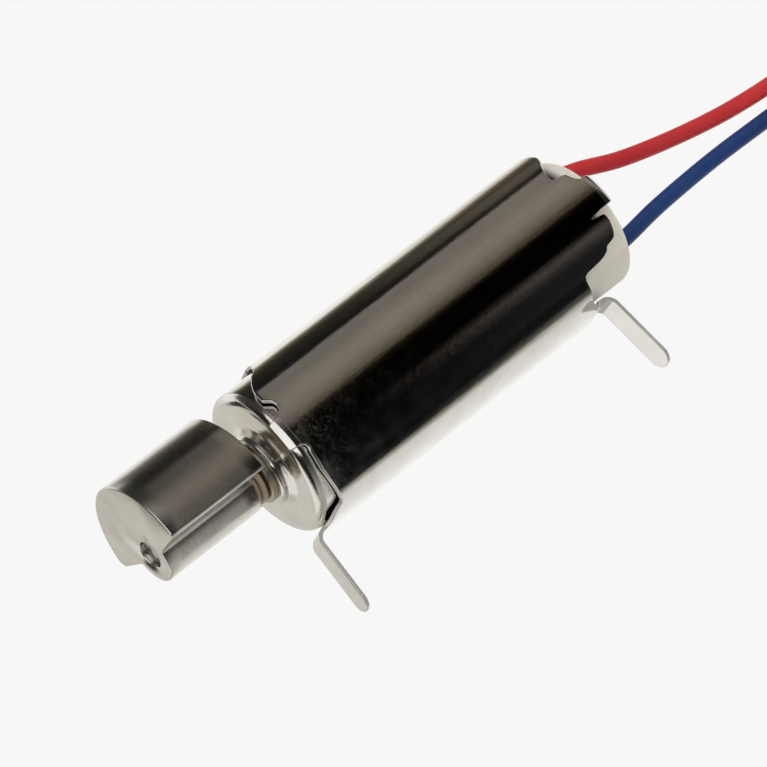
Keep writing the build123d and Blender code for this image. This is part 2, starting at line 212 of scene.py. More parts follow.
# ------------------------------------------------------------------ node helpers
class Nodes:
    """Short calls for building one node tree."""

    def __init__(self, tree, output, shader):
        self.tree = tree
        tree.nodes.clear()
        self.output = self.node(output)
        self.shader = self.node(shader)
        self.link(self.shader.outputs[0], self.output.inputs[0])
        self.tex_coord = self.node("ShaderNodeTexCoord")

    def node(self, kind, **settings):
        node = self.tree.nodes.new(kind)
        for key, value in settings.items():
            setattr(node, key, value)
        return node

    def link(self, source, target):
        self.tree.links.new(source, target)

    def put(self, socket, value):
        """Links a socket, or sets a number or colour; colours get alpha 1."""
        if isinstance(value, bpy.types.NodeSocket):
            self.link(value, socket)
        elif socket.type == "RGBA" and len(value) == 3:
            socket.default_value = (*value, 1)
        else:
            socket.default_value = value

    def coords(self, scale=(1, 1, 1)):
        """Object coordinates in millimetres, stretched by scale."""
        mapping = self.node("ShaderNodeMapping")
        mapping.inputs["Scale"].default_value = [s * 1000.0 for s in scale]
        self.link(self.tex_coord.outputs["Object"], mapping.inputs["Vector"])
        return mapping.outputs[0]

    def noise(self, vector, scale, detail=4.0, rough=0.55, distort=0.0):
        node = self.node("ShaderNodeTexNoise")
        self.link(vector, node.inputs["Vector"])
        node.inputs["Scale"].default_value = scale
        node.inputs["Detail"].default_value = detail
        node.inputs["Roughness"].default_value = rough
        node.inputs["Distortion"].default_value = distort
        return node.outputs[0]

    def ramp(self, factor, stops):
        """Colour ramp over (position, colour) stops."""
        node = self.node("ShaderNodeValToRGB")
        elements = node.color_ramp.elements
        while len(elements) > 1:
            elements.remove(elements[-1])
        for i, (position, colour) in enumerate(stops):
            element = elements[0] if i == 0 else elements.new(position)
            element.position = position
            element.color = (*colour, 1)
        self.link(factor, node.inputs[0])
        return node.outputs[0]

    def remap(self, value, span, to=(0.0, 1.0)):
        """Clamped linear change from one range to another."""
        node = self.node("ShaderNodeMapRange")
        self.link(value, node.inputs[0])
        for i, limit in enumerate((*span, *to), start=1):
            node.inputs[i].default_value = limit
        return node.outputs[0]

    def math(self, operation, first, second):
        node = self.node("ShaderNodeMath", operation=operation)
        self.put(node.inputs[0], first)
        self.put(node.inputs[1], second)
        return node.outputs[0]

    def product(self, first, *others):
        for other in others:
            first = self.math("MULTIPLY", first, other)
        return first

    def mix(self, factor, first, second):
        node = self.node("ShaderNodeMix", data_type="RGBA")
        self.put(node.inputs[0], factor)
        self.put(node.inputs[6], first)
        self.put(node.inputs[7], second)
        return node.outputs[2]

    def bump(self, height, strength, depth, under=None):
        """Bump of a depth in millimetres, laid over the normal `under`."""
        node = self.node("ShaderNodeBump")
        node.inputs["Strength"].default_value = strength
        node.inputs["Distance"].default_value = depth * MM
        self.link(height, node.inputs["Height"])
        if under is not None:
            self.link(under, node.inputs["Normal"])
        return node.outputs[0]

    def set(self, **inputs):
        """Shader inputs by name, with _ for a space."""
        for key, value in inputs.items():
            self.put(self.shader.inputs[key.replace("_", " ")], value)


# ------------------------------------------------------------------ materials
MATERIALS = {}
MIDDLE = (0.3, 0.7)             # the usual range of a noise


def new_material(name):
    material = bpy.data.materials.new(name)
    material.use_nodes = True
    MATERIALS[name] = material
    return Nodes(material.node_tree, "ShaderNodeOutputMaterial", "ShaderNodeBsdfPrincipled")


def darker(colour, factor):
    return tuple(channel * factor for channel in colour)


def nickel(name, tint, rough, peel_bump):
    """Bright plated sheet: faint rolling waves along the axis, orange peel, small smudges."""
    m = new_material(name)
    plain = m.coords()
    peel = m.noise(m.coords(scale=(1.4, 3.0, 3.0)), scale=3.2, detail=5, rough=0.6)
    waves = m.noise(m.coords(scale=(0.16, 2.2, 2.2)), scale=1.1, detail=3, rough=0.5)
    smudge = m.noise(plain, scale=0.9, detail=5, rough=0.62, distort=0.6)
    spots = m.noise(plain, scale=6.0, detail=6, rough=0.7)
    colour = m.mix(m.remap(smudge, span=(0.38, 0.66), to=(0.0, 0.5)), tint, darker(tint, 0.80))
    colour = m.mix(m.remap(spots, span=(0.62, 0.72), to=(0.0, 0.35)), colour, (0.52, 0.49, 0.44))
    roughness = m.remap(m.noise(plain, scale=2.4, detail=5, rough=0.6), span=MIDDLE, to=rough)
    wave_normal = m.bump(waves, strength=0.05, depth=0.10)
    normal = m.bump(peel, strength=peel_bump, depth=0.05, under=wave_normal)
    m.set(Base_Color=colour, Metallic=1.0, Roughness=roughness, Normal=normal)


def tungsten(name):
    """Sintered heavy alloy: satin, fine grain, faint grinding lines."""
    m = new_material(name)
    plain = m.coords()
    grain = m.noise(plain, scale=14.0, detail=6, rough=0.7)
    cloud = m.noise(plain, scale=1.3)
    lines = m.noise(m.coords(scale=(0.35, 6.0, 6.0)), scale=4.0, detail=3, rough=0.6)
    colour = m.mix(m.remap(cloud, span=MIDDLE), (0.66, 0.64, 0.60), (0.77, 0.75, 0.70))
    colour = m.mix(m.remap(grain, span=(0.58, 0.75), to=(0, 0.15)), colour, (0.58, 0.56, 0.53))
    roughness = m.remap(grain, span=MIDDLE, to=(0.15, 0.22))
    grain_normal = m.bump(grain, strength=0.05, depth=0.02)
    normal = m.bump(lines, strength=0.06, depth=0.02, under=grain_normal)
    m.set(Base_Color=colour, Metallic=1.0, Roughness=roughness, Normal=normal)


def metal(name, base, dark, rough=(0.2, 0.4), grain=9.0, bump=0.1, along=0.4, metallic=1.0):
    """Cloudy metal; `along` is the grain's density along X against that across it."""
    m = new_material(name)
    grains = m.noise(m.coords(scale=(along, 1, 1)), scale=grain, detail=5, rough=0.65)
    cloud = m.noise(m.coords(), scale=1.8)
    colour = m.mix(m.remap(cloud, span=MIDDLE), base, dark)
    colour = m.mix(m.remap(grains, span=(0.55, 0.75), to=(0, 0.4)), colour, darker(dark, 0.6))
    m.set(Base_Color=colour, Metallic=metallic, Roughness=m.remap(grains, span=MIDDLE, to=rough),
          Normal=m.bump(grains, strength=bump, depth=0.02))


def plastic(name, base, dark, rough=(0.3, 0.42), subsurface=0.0, coat=0.0, grain=5.0, bump=0.1,
            along=1):
    m = new_material(name)
    vector = m.coords(scale=(along, 1, 1))
    cloud = m.noise(vector, scale=0.9, distort=0.4)
    grains = m.noise(vector, scale=grain, detail=5, rough=0.6)
    colour = m.mix(m.remap(cloud, span=(0.35, 0.65)), base, dark)
    colour = m.mix(m.remap(grains, span=(0.6, 0.75), to=(0, 0.18)), colour, darker(dark, 0.7))
    m.set(Base_Color=colour, Roughness=m.remap(grains, span=MIDDLE, to=rough),
          Normal=m.bump(grains, strength=bump, depth=0.02))
    if subsurface:
        m.set(Subsurface_Weight=subsurface, Subsurface_Scale=1.0,
              Subsurface_Radius=(0.5 * MM, 0.35 * MM, 0.25 * MM))
    if coat:
        m.set(Coat_Weight=coat, Coat_Roughness=0.08)
    return m


def cream_nylon(name):
    """Cap plastic, with painted shade near the top where the sleeve's edge overhangs it and in a low
    narrow slit.
    """
    m = plastic(name, base=(0.80, 0.77, 0.69), dark=(0.72, 0.69, 0.60), rough=(0.32, 0.5),
                subsurface=0.35, grain=7.0, bump=0.15)
    own_colour = m.shader.inputs["Base Color"].links[0].from_socket
    m.tex_coord = m.node("ShaderNodeTexCoord")
    split = m.node("ShaderNodeSeparateXYZ")
    m.link(m.coords(), split.inputs[0])
    x, _, z = split.outputs
    # painted shade: the cap's colour goes almost black next to the sleeve's edge near the top and in
    # the slit seen through the low rear notch
    sleeve_edge_painted_shade = m.product(m.remap(x, span=(10.60, 10.36)), m.remap(z, span=(0.70, 1.05)))
    notch_painted_shade = m.product(m.remap(x, span=(10.46, 10.30)),
                     m.product(m.remap(z, span=(-0.50, -0.44)), m.remap(z, span=(-0.26, -0.32))))
    m.set(Base_Color=m.mix(m.math("MAXIMUM", sleeve_edge_painted_shade, notch_painted_shade), own_colour, (0.060, 0.055, 0.045)))


def washer_film(name):
    """Amber film with a light coat."""
    m = new_material(name)
    grains = m.noise(m.coords(), scale=8.0, rough=0.6)
    m.set(Base_Color=m.mix(m.remap(grains, span=MIDDLE), (0.46, 0.37, 0.27), (0.30, 0.22, 0.15)),
          Roughness=m.remap(grains, span=MIDDLE, to=(0.22, 0.4)),
          Coat_Weight=0.3, Normal=m.bump(grains, strength=0.15, depth=0.02))


def clear_adhesive(name):
    """Slightly pink and takes light through."""
    m = new_material(name)
    grains = m.noise(m.coords(), scale=3.0, rough=0.6, distort=0.5)
    m.set(Base_Color=m.mix(m.remap(grains, span=MIDDLE), (0.93, 0.72, 0.68), (0.95, 0.84, 0.80)),
          Roughness=m.remap(grains, span=MIDDLE, to=(0.06, 0.2)),
          Transmission_Weight=0.55, IOR=1.42, Subsurface_Weight=0.3, Subsurface_Scale=1.0,
          Subsurface_Radius=(0.4 * MM, 0.3 * MM, 0.25 * MM),
          Normal=m.bump(grains, strength=0.3, depth=0.05))


nickel("nickel_sheet", tint=(0.86, 0.845, 0.815), rough=(0.03, 0.075), peel_bump=0.035)
metal("sheet_edge", base=(0.74, 0.73, 0.71), dark=(0.62, 0.61, 0.59), rough=(0.40, 0.55),
      bump=0.08, metallic=0.45)
nickel("can_steel", tint=(0.84, 0.82, 0.77), rough=(0.07, 0.16), peel_bump=0.05)
tungsten("tungsten")
metal("shaft_steel", base=(0.75, 0.74, 0.72), dark=(0.62, 0.61, 0.60), rough=(0.15, 0.28),
      grain=10, bump=0.08, along=3.0)
metal("bronze", base=(0.66, 0.60, 0.50), dark=(0.52, 0.45, 0.35), rough=(0.25, 0.42),
      grain=12, bump=0.25)
metal("brass", base=(0.80, 0.62, 0.32), dark=(0.68, 0.50, 0.26), rough=(0.2, 0.35))
metal("magnet", base=(0.40, 0.41, 0.43), dark=(0.28, 0.29, 0.31), rough=(0.35, 0.5))
metal("enamel_wire", base=(0.70, 0.30, 0.13), dark=(0.55, 0.20, 0.08), rough=(0.25, 0.4),
      grain=16, bump=0.4)
plastic("moulding", base=(0.045, 0.045, 0.05), dark=(0.03, 0.03, 0.033))
metal("gold_copper", base=(0.86, 0.66, 0.32), dark=(0.74, 0.54, 0.26), rough=(0.18, 0.3))
metal("terminal_copper", base=(0.80, 0.66, 0.48), dark=(0.66, 0.50, 0.34), rough=(0.2, 0.35))
metal("solder", base=(0.78, 0.79, 0.80), dark=(0.62, 0.63, 0.65), rough=(0.12, 0.3),
      grain=5, bump=0.3)
cream_nylon("cream_nylon")
plastic("red_pvc", base=(0.66, 0.026, 0.030), dark=(0.52, 0.014, 0.020), rough=(0.34, 0.48),
        subsurface=0.10, coat=0.08, bump=0.25, along=0.3)
plastic("blue_pvc", base=(0.006, 0.050, 0.21), dark=(0.004, 0.032, 0.15), rough=(0.34, 0.48),
        coat=0.08, bump=0.25, along=0.3)
metal("tinned_copper", base=(0.80, 0.78, 0.74), dark=(0.66, 0.62, 0.56), rough=(0.2, 0.35),
      grain=7, bump=0.4)
washer_film("washer")
clear_adhesive("clear_adhesive")

# the CAD pieces keep their own meshes and take these finishes
slots = {part["node"]: part["material_slot"] for part in frame["record"]["subparts"]}
for node_name, piece in frame["nodes"].items():
    piece.data.materials.clear()
    piece.data.materials.append(MATERIALS[slots[node_name]])

# ------------------------------------------------------------------ turned pieces
# profiles are closed loops of (x, radius)
can_profile = [
    (CAN_REAR_X, CAN_R), (CAN_REAR_X - 0.02, CAN_R),
    *[(x, CAN_R) for x in np.linspace(CAN_REAR_X - 0.5, 0.6, 12)],
    *quarter_arc(CAN_CORNER, CAN_R - CAN_CORNER, CAN_CORNER, 18),
    # the front face swells into the boss
    (0.0, 1.60), (0.0, 1.40), (0.0, 1.26), (-0.004, 1.215), (-0.015, 1.17), (-0.035, 1.12),
    (-0.065, 1.07), (-0.09, 1.02), (-0.105, 0.985), (-0.13, 0.98),
    *quarter_arc(BOSS_X + 0.10, 0.88, 0.10, 10),
    (BOSS_X, 0.80), (BOSS_X, 0.62), (-0.24, BUSH_R), (0.24, BUSH_R),
    # inside
    (0.25, 0.62), (0.25, CAN_R_IN), (0.5, CAN_R_IN), (CAN_REAR_X, CAN_R_IN)]
finish_piece(lathe("motor_can_shell", can_profile, 320, 40), "stator", "motor_can", "can_steel")

# bush with its flange standing on the boss
bush_profile = [
    (1.30, BUSH_R), (BOSS_X, BUSH_R), (BOSS_X, 0.78), (-0.265, 0.80), (-0.36, 0.80),
    *quarter_arc(-0.36, 0.73, 0.07, 6),
    (-0.43, 0.55), (-0.43, 0.42), (-0.40, 0.37), (1.30, 0.37)]
finish_piece(lathe("front_bush", bush_profile, 192, 40), "stator", "front_bearing", "bronze")


def washer(name, front, rear, r_out, node):
    """Flat ring on the shaft with softened outer edges."""
    r_in = 0.352
    soft = (rear - front) * 0.25
    profile = [(front, r_in), (front, r_out - soft), (front + soft * 0.3, r_out - soft * 0.3),
               (front + soft, r_out), (rear - soft, r_out),
               (rear - soft * 0.3, r_out - soft * 0.3), (rear, r_out - soft), (rear, r_in)]
    finish_piece(lathe(name, profile, 160, 50), "rotor", node, "washer")


washer("thrust_washer_ring", -0.78, -0.66, 0.63, "thrust_washer")
washer("spacer_washer_ring", -0.63, -0.49, 0.70, "spacer_washer")

front_x, rear_x = SHAFT_X
shaft_profile = [(front_x, 0.002), (front_x, 0.29), (front_x + 0.02, 0.325),
                 (front_x + 0.06, 0.35), (rear_x - 0.05, 0.35), (rear_x, 0.30), (rear_x, 0.002)]
finish_piece(lathe("shaft_rod", shaft_profile, 96, 30), "rotor", "shaft", "shaft_steel")

# ------------------------------------------------------------------ eccentric weight
# drawn in (y, z) with the heavy half up, then turned about X
WEIGHT_R = 1.96
HUB_R = 0.77
FLAT_DROP = 0.20                # the flats would meet this far below the axis
FLAT_TILT = radians(8.0)        # each flat rises outwards
NEAR_ROUND, FAR_ROUND = 0.10, 0.26
HOLLOW_R = 0.09                 # fillet between flat and hub
WEIGHT_TURN = radians(11.0)
WEIGHT_SOFT = 0.045             # rounding of the face edges


def flat_z(y):
    return -FLAT_DROP + abs(y) * tan(FLAT_TILT)


def short_arc(centre, radius, start, stop, steps):
    """Points on an arc that turns the shorter way between two angles."""
    sweep = (stop - start + pi) % (2 * pi) - pi
    angles = [start + sweep * k / steps for k in range(steps + 1)]
    return [(centre[0] + radius * cos(a), centre[1] + radius * sin(a)) for a in angles]


def corner_round(radius, side):
    """Centre of a corner rounding and the angles where it meets the flat and the rim."""
    up_y, up_z = -sin(FLAT_TILT) * side, cos(FLAT_TILT)
    for k in range(4000):
        y = 0.6 + k * (WEIGHT_R - 0.6) / 4000
        centre = (side * y + up_y * radius, flat_z(y) + up_z * radius)
        if sqrt(centre[0] ** 2 + centre[1] ** 2) >= WEIGHT_R - radius:
            break
    return centre, atan2(-up_z, -up_y), atan2(centre[1], centre[0])


def far_hollow():
    """Centre of the fillet between hub and far flat, and the y where it touches the flat."""
    for k in range(4000):
        y = 0.60 + k * 0.5 / 4000
        centre = (y + sin(FLAT_TILT) * HOLLOW_R, flat_z(y) - cos(FLAT_TILT) * HOLLOW_R)
        if centre[0] ** 2 + centre[1] ** 2 >= (HUB_R + HOLLOW_R) ** 2:
            return centre, y


def between(start, stop, count=12):
    """The inner points of a divided line."""
    return [(start[0] + (stop[0] - start[0]) * k / count,
             start[1] + (stop[1] - start[1]) * k / count) for k in range(1, count)]


def weight_outline():
    """Clockwise: near corner, over the top, far corner, far flat, hub, near flat."""
    centre, foot, near_rim = corner_round(NEAR_ROUND, -1)
    near = short_arc(centre, NEAR_ROUND, foot, near_rim, 12)
    centre, foot, far_rim = corner_round(FAR_ROUND, 1)
    far = short_arc(centre, FAR_ROUND, far_rim, foot, 16)
    start = near_rim % (2 * pi)
    angles = [start + (far_rim - start) * k / 150 for k in range(1, 150)]
    rim = [(WEIGHT_R * cos(a), WEIGHT_R * sin(a)) for a in angles]
    (y, z), touch = far_hollow()
    far_fillet = short_arc((y, z), HOLLOW_R, atan2(flat_z(touch) - z, touch - y),
                           atan2(-z, -y), 8)
    start = atan2(z, y)
    sweep = -((start - atan2(z, -y)) % (2 * pi))
    angles = [start + sweep * k / 80 for k in range(1, 80)]
    hub = [(HUB_R * cos(a), HUB_R * sin(a)) for a in angles]
    near_fillet = [(-y, z) for y, z in far_fillet][::-1]
    return (near + rim + far + between(far[-1], far_fillet[0]) + far_fillet + hub
            + near_fillet + between(near_fillet[-1], near[0]))


def inset_loop(points, distance):
    """A clockwise loop moved inwards."""
    loop = np.array(points)
    tangents = np.roll(loop, -1, 0) - np.roll(loop, 1, 0)
    tangents /= np.linalg.norm(tangents, axis=1)[:, None]
    inward = np.stack([tangents[:, 1], -tangents[:, 0]], 1)
    return loop + inward * distance


def build_weight():
    outline = weight_outline()
    front, rear = WEIGHT_X
    # stations of (x, inset): rounded front edge, wall, rounded rear edge
    turns = [radians(90 * k / 5) for k in range(6)]
    front_edge = [(front + WEIGHT_SOFT * (1 - cos(t)), WEIGHT_SOFT * (1 - sin(t))) for t in turns]
    wall = [(x, 0.0) for x in np.linspace(front + WEIGHT_SOFT, rear - WEIGHT_SOFT, 8)[1:-1]]
    rear_edge = [(rear - (x - front), inset) for x, inset in front_edge[::-1]]
    verts = []
    c, s = cos(WEIGHT_TURN), sin(WEIGHT_TURN)
    outer = [add_ring(verts, [(x, y * c - z * s, y * s + z * c)
                              for y, z in inset_loop(outline, inset)])
             for x, inset in front_edge + wall + rear_edge]
    # bore with a softened mouth: (x, radius)
    bore = [(front, 0.395), (front + 0.012, 0.375), (front + 0.035, 0.362),
            (front + 0.07, 0.3605), (rear - 0.05, 0.3605), (rear, 0.38)]
    seg = 72
    angles = [2 * pi * k / seg for k in range(seg)]
    hole = [add_ring(verts, [(x, r * cos(a), r * sin(a)) for a in angles]) for x, r in bore]
    mesh = mesh_of("weight_tmp", verts, bridge(outer) + bridge(hole))
    bm = bmesh.new()
    bm.from_mesh(mesh)
    bm.verts.ensure_lookup_table()
    # the two flat faces, each between the outline and the bore
    for end in (0, -1):
        edges = []
        for ring in (outer[end], hole[end]):
            for k in range(len(ring)):
                pair = (bm.verts[ring[k]], bm.verts[ring[(k + 1) % len(ring)]])
                edges.append(bm.edges.get(pair))
        bmesh.ops.triangle_fill(bm, edges=edges, use_beauty=True)
    bmesh.ops.recalc_face_normals(bm, faces=bm.faces)
    shade(bm, 32)
    mesh.clear_geometry()
    bm.to_mesh(mesh)
    bm.free()
    return new_object("half_disc_weight", mesh)


finish_piece(build_weight(), "rotor", "eccentric_weight", "tungsten")

# ------------------------------------------------------------------ rolled sleeve with tabs and legs
# phi is in degrees from the top (+Z), the same down both sides; the seam is at the top.
# The sleeve's edges are tables of (phi, x): the upper one ends at the tab, the lower one
# goes on from the tab to the leg.
FRONT, REAR = -1, 1             # the direction along X that each end faces
FRONT_UPPER = [
    (0, 1.30), (8.7, 1.25), (20, 1.15), (28, 1.02), (33, .92), (35.5, .82), (37.5, .71),
    (41, .62), (44.3, .52), (50.5, .38), (55, .325), (59.5, .30), (62.2, .28), (63.6, .31),
    (64.9, .36), (66.4, .41), (67.8, .44), (71.2, .46), (74.5, .43), (76.2, .37), (77.2, .30),
    (77.8, .22), (78.24, .20)]
FRONT_LOWER = [
    (101.76, .20), (102.3, .24), (103.3, .30), (105.5, .34), (108.8, .32), (122.9, .32),
    (132, .375), (142, .46), (148, .505), (152, .53), (154.0, .56), (155.6, .545), (157.7, .50),
    (161.1, .36), (164.7, .20), (167.7, .05), (169.4, 0), (170.18, -.02)]
REAR_UPPER = [
    (0, 10.53), (34, 10.53), (37, 10.51), (40, 10.46), (42, 10.42), (45, 10.33), (50, 10.22),
    (55, 10.12), (60, 10.06), (62.5, 10.045), (64.0, 10.05), (64.6, 10.10), (65.1, 10.25),
    (65.7, 10.37), (66.6, 10.42), (68.5, 10.44), (71, 10.467), (73.5, 10.51), (74.8, 10.56),
    (75.59, 10.60)]
REAR_LOWER = [
    (100.41, 10.42), (100.6, 10.26), (101.0, 10.13), (101.8, 10.08), (102.5, 10.10),
    (103.0, 10.20), (103.3, 10.33), (103.8, 10.42), (105.5, 10.455), (109.6, 10.462),
    (114.6, 10.432), (118, 10.40), (120.2, 10.35), (121.2, 10.27), (121.9, 10.13),
    (122.8, 10.05), (125.2, 10.0), (127.0, 9.88), (128.2, 9.70), (128.9, 9.45), (129.4, 9.25),
    (130.6, 9.15), (133.4, 9.118), (137, 9.135), (142.8, 9.172), (149, 9.17), (154.0, 9.17),
    (158, 9.24), (162.8, 9.36), (166.1, 9.46), (168.9, 9.55), (170.18, 9.60)]
EDGES = {FRONT: (FRONT_UPPER, FRONT_LOWER), REAR: (REAR_UPPER, REAR_LOWER)}

HALF_SEAM = 0.04
EDGE_R = SHEET * 0.26           # softening of the sheared edges
DEG_PER_MM = degrees(1.0 / R_MID)

TAB_SPAN = {FRONT: (78.25, 101.75), REAR: (75.6, 100.4)}    # phi
TAB_JOIN = {FRONT: 0.24, REAR: 10.38}                       # x
TAB_CORNER = 0.09
# curl of the tabs over the rim: centre x, centre radius, bend radius of the mid surface
CURL = {FRONT: (CAN_CORNER, CAN_R - CAN_CORNER, R_MID - (CAN_R - CAN_CORNER)),
        REAR: (10.62, SLEEVE_R_IN - 0.25, 0.25 + HALF)}
CURL_ANGLE = radians(50.0)

LEG_HALF = 0.71 / 2             # half width, also the radius of the round tip
LEG_PHI = degrees(asin(LEG_HALF / R_MID))
LEG_JOIN = {FRONT: 0.10, REAR: 9.55}                        # x
LEG_X = {FRONT: -0.285, REAR: 9.965}                        # bend centre x plus the bend radius
LEG_BEND = 0.30
LEG_SPLAY = radians(4.0)
LEG_TIP_Z = {FRONT: BRACKET_LOW_Z, REAR: -4.19}

# a flat tongue under the sleeve leads to each leg; the rear one climbs and turns a little
TONGUE_Z = -2.18 + HALF
FLAT_START = {FRONT: 0.60, REAR: 9.05}                      # x
REAR_BEND_X = LEG_X[REAR] - LEG_BEND
REAR_RISE = 0.18
REAR_TWIST = radians(10.0)
TWIST_X = REAR_BEND_X - 0.2


def smooth_step(t):
    t = max(0.0, min(1.0, t))
    return t * t * (3 - 2 * t)


def edge_x(end, phi):
    upper, lower = EDGES[end]
    return float(np.interp(phi, *zip(*(upper if phi < 90 else lower))))


def outward(phi, side):
    """The y and z of the direction away from the axis; side is 1 for the near half."""
    angle = radians(phi)
    return -sin(angle) * side, cos(angle)


def twist(point, normal):
    """Turns the rear tongue about the vertical where it leaves the sleeve."""
    x, y, z = point
    angle = (REAR_TWIST * smooth_step((x - (TWIST_X - 0.15)) / 0.45)
             * smooth_step((0.95 - abs(y)) / 0.55))
    c, s = cos(angle), sin(angle)
    ahead = x - TWIST_X
    return ((TWIST_X + ahead * c - y * s, ahead * s + y * c, z),
            (normal[0] * c - normal[1] * s, normal[0] * s + normal[1] * c, normal[2]))


def tongue_z(x, end):
    """Height of the tongue's mid plane."""
    if end == FRONT:
        return TONGUE_Z
    return TONGUE_Z + REAR_RISE * smooth_step((x - (REAR_BEND_X - 0.46)) / 0.36)


def sheet_point(x, side, phi, end):
    """Mid-surface point and normal of the rolled sheet, flattened at the tongue roots."""
    out_y, out_z = outward(phi, side)
    y, z = R_MID * out_y, R_MID * out_z
    flat = 0.0
    if phi > 150:
        flat = (smooth_step((x - FLAT_START[end]) * end / 0.5)
                * smooth_step((0.75 - abs(y)) / 0.40))
    point = (x, y, z + (tongue_z(x, end) - z) * flat)
    normal = tuple(Vector((0, out_y * (1 - flat), out_z * (1 - flat) - flat)).normalized())
    if end == REAR and phi > 150:
        return twist(point, normal)
    return point, normal


def leg_line(y, end):
    """Mid line of a leg at width position y: tongue, bend, then down to the round tip."""
    centre_x = LEG_X[end] - end * LEG_BEND
    start_x = LEG_JOIN[end]
    turn = pi / 2 - LEG_SPLAY
    tip_z = LEG_TIP_Z[end] + LEG_HALF - sqrt(max(0.0, LEG_HALF ** 2 - y * y)) + EDGE_R
    straight = (centre_x - start_x) * end
    bend = LEG_BEND * turn
    bend_z = tongue_z(centre_x, end)
    end_z = bend_z - LEG_BEND + LEG_BEND * cos(turn)
    drop = max(0.001, (end_z - tip_z) / cos(LEG_SPLAY))
    steps = ([straight * k / 6 for k in range(6)]
             + [straight + bend * k / 22 for k in range(22)]
             + [straight + bend + drop * k / 30 for k in range(31)])
    points, normals = [], []
    for run in steps:
        if run <= straight:
            x = start_x + end * run
            point, normal = (x, y, tongue_z(x, end)), (0.0, 0.0, -1.0)
        elif run <= straight + bend:
            angle = (run - straight) / LEG_BEND
            point = (centre_x + end * LEG_BEND * sin(angle), y,
                     bend_z - LEG_BEND + LEG_BEND * cos(angle))
            normal = (-end * sin(angle), 0, -cos(angle))
        else:
            down = run - straight - bend
            point = (centre_x + end * (LEG_BEND * sin(turn) + down * sin(LEG_SPLAY)), y,
                     end_z - down * cos(LEG_SPLAY))
            normal = (-end * sin(turn), 0, -cos(turn))
        if end == REAR:
            point, normal = twist(point, normal)
        points.append(point)
        normals.append(normal)
    return points, normals


def tab_line(phi, side, end):
    """Mid line of a holding tab: straight, then curled over the rim."""
    out_y, out_z = outward(phi, side)
    centre_x, centre_r, bend_r = CURL[end]
    start_x = TAB_JOIN[end]
    low, high = TAB_SPAN[end]
    curl = bend_r * CURL_ANGLE - EDGE_R
    to_side = min(phi - low, high - phi) * radians(1) * R_MID
    if to_side < TAB_CORNER:
        curl -= TAB_CORNER - sqrt(max(0.0, TAB_CORNER ** 2 - (TAB_CORNER - to_side) ** 2))
    straight = max(0.0, (centre_x - start_x) * end)
    first_angle = asin(max(0.0, (start_x - centre_x) * end / bend_r))
    steps = ([straight * k / 4 for k in range(4)]
             + [straight + (curl - bend_r * first_angle) * k / 26 for k in range(27)])
    points, normals = [], []
    for run in steps:
        if run < straight:
            angle = 0.0
            x, r = start_x + end * run, R_MID
        else:
            angle = first_angle + (run - straight) / bend_r
            x, r = centre_x + end * bend_r * sin(angle), centre_r + bend_r * cos(angle)
        points.append((x, r * out_y, r * out_z))
        normals.append((end * sin(angle), cos(angle) * out_y, cos(angle) * out_z))
    return points, normals


def soft_sides(low, high, unit):
    """(position, half thickness) across a strip's two sheared edges.

    unit turns a length in millimetres into the strip's own measure.
    """
    turns = [radians(90 * k / 4) for k in range(5)]
    left = [(low + (EDGE_R - EDGE_R * cos(t)) * unit, HALF - EDGE_R + EDGE_R * sin(t))
            for t in turns]
    right = [(high - (place - low), half) for place, half in left[::-1]]
    return left, right


def rounded_end(point, normal, ahead, half, corner, reach):
    """Softened end of the sheet, from the face on the normal's side to the other."""
    turns = [radians(90 * k / 4) for k in range(5)]
    first = [point + normal * (half - corner + corner * cos(t)) + ahead * (reach * sin(t))
             for t in turns[1:]]
    second = [point - normal * (half - corner + corner * sin(t)) + ahead * (reach * cos(t))
              for t in turns[:4]]
    return [tuple(v) for v in first + second]


def side_faces(ring, count, last):
    """Quads that close the first or last ring of a strip."""
    return [(ring[i], ring[i + 1], ring[last - 1 - i], ring[last - i]) for i in range(count)]


def add_strip(verts, faces, lines):
    """Closed strip from mid lines (points, normals, half thickness), root first."""
    rings = []
    for points, normals, half in lines:
        points, normals = np.array(points, float), np.array(normals, float)
        ahead = points[-1] - points[-2]
        ahead /= np.linalg.norm(ahead)
        corner = min(EDGE_R, half * 0.98)
        ring = [tuple(v) for v in points + normals * half]
        ring += rounded_end(points[-1], normals[-1], ahead, half, corner, EDGE_R)
        ring += [tuple(v) for v in (points - normals * half)[::-1]]
        rings.append(add_ring(verts, ring))
    faces += bridge(rings)
    size = len(rings[0])
    for ring in (rings[0], rings[-1]):
        faces += side_faces(ring, size // 2 - 1, size - 1)


def sleeve_angles():
    """Signed phi of every ring, near side first, from seam to seam."""
    seam = HALF_SEAM / R_MID
    seam = degrees(seam)
    angles = [seam, seam + 0.15, seam + 0.6, *np.arange(3.0, 30.0, 1.5),
              *np.arange(30.0, 180 - LEG_PHI - 0.1, 0.4), 180 - LEG_PHI - 0.01]
    for low, high in TAB_SPAN.values():
        angles += [low - 0.01, low, high, high + 0.01]
    angles += list(180 - np.degrees(np.arcsin(LEG_HALF * np.linspace(1, 0, 14) / R_MID)))
    angles = sorted(set(round(a, 5) for a in angles))
    return angles + [-a for a in angles[::-1] if a < 179.999]


def sleeve_end(phi, end):
    """x of the sheet's end and its softening, which is 0 where a tab or leg goes on."""
    low, high = TAB_SPAN[end]
    if low - 1e-6 <= phi <= high + 1e-6:
        return TAB_JOIN[end], 0.0
    if phi >= 180 - LEG_PHI - 1e-4:
        return LEG_JOIN[end], 0.0
    return edge_x(end, phi) - end * EDGE_R, EDGE_R


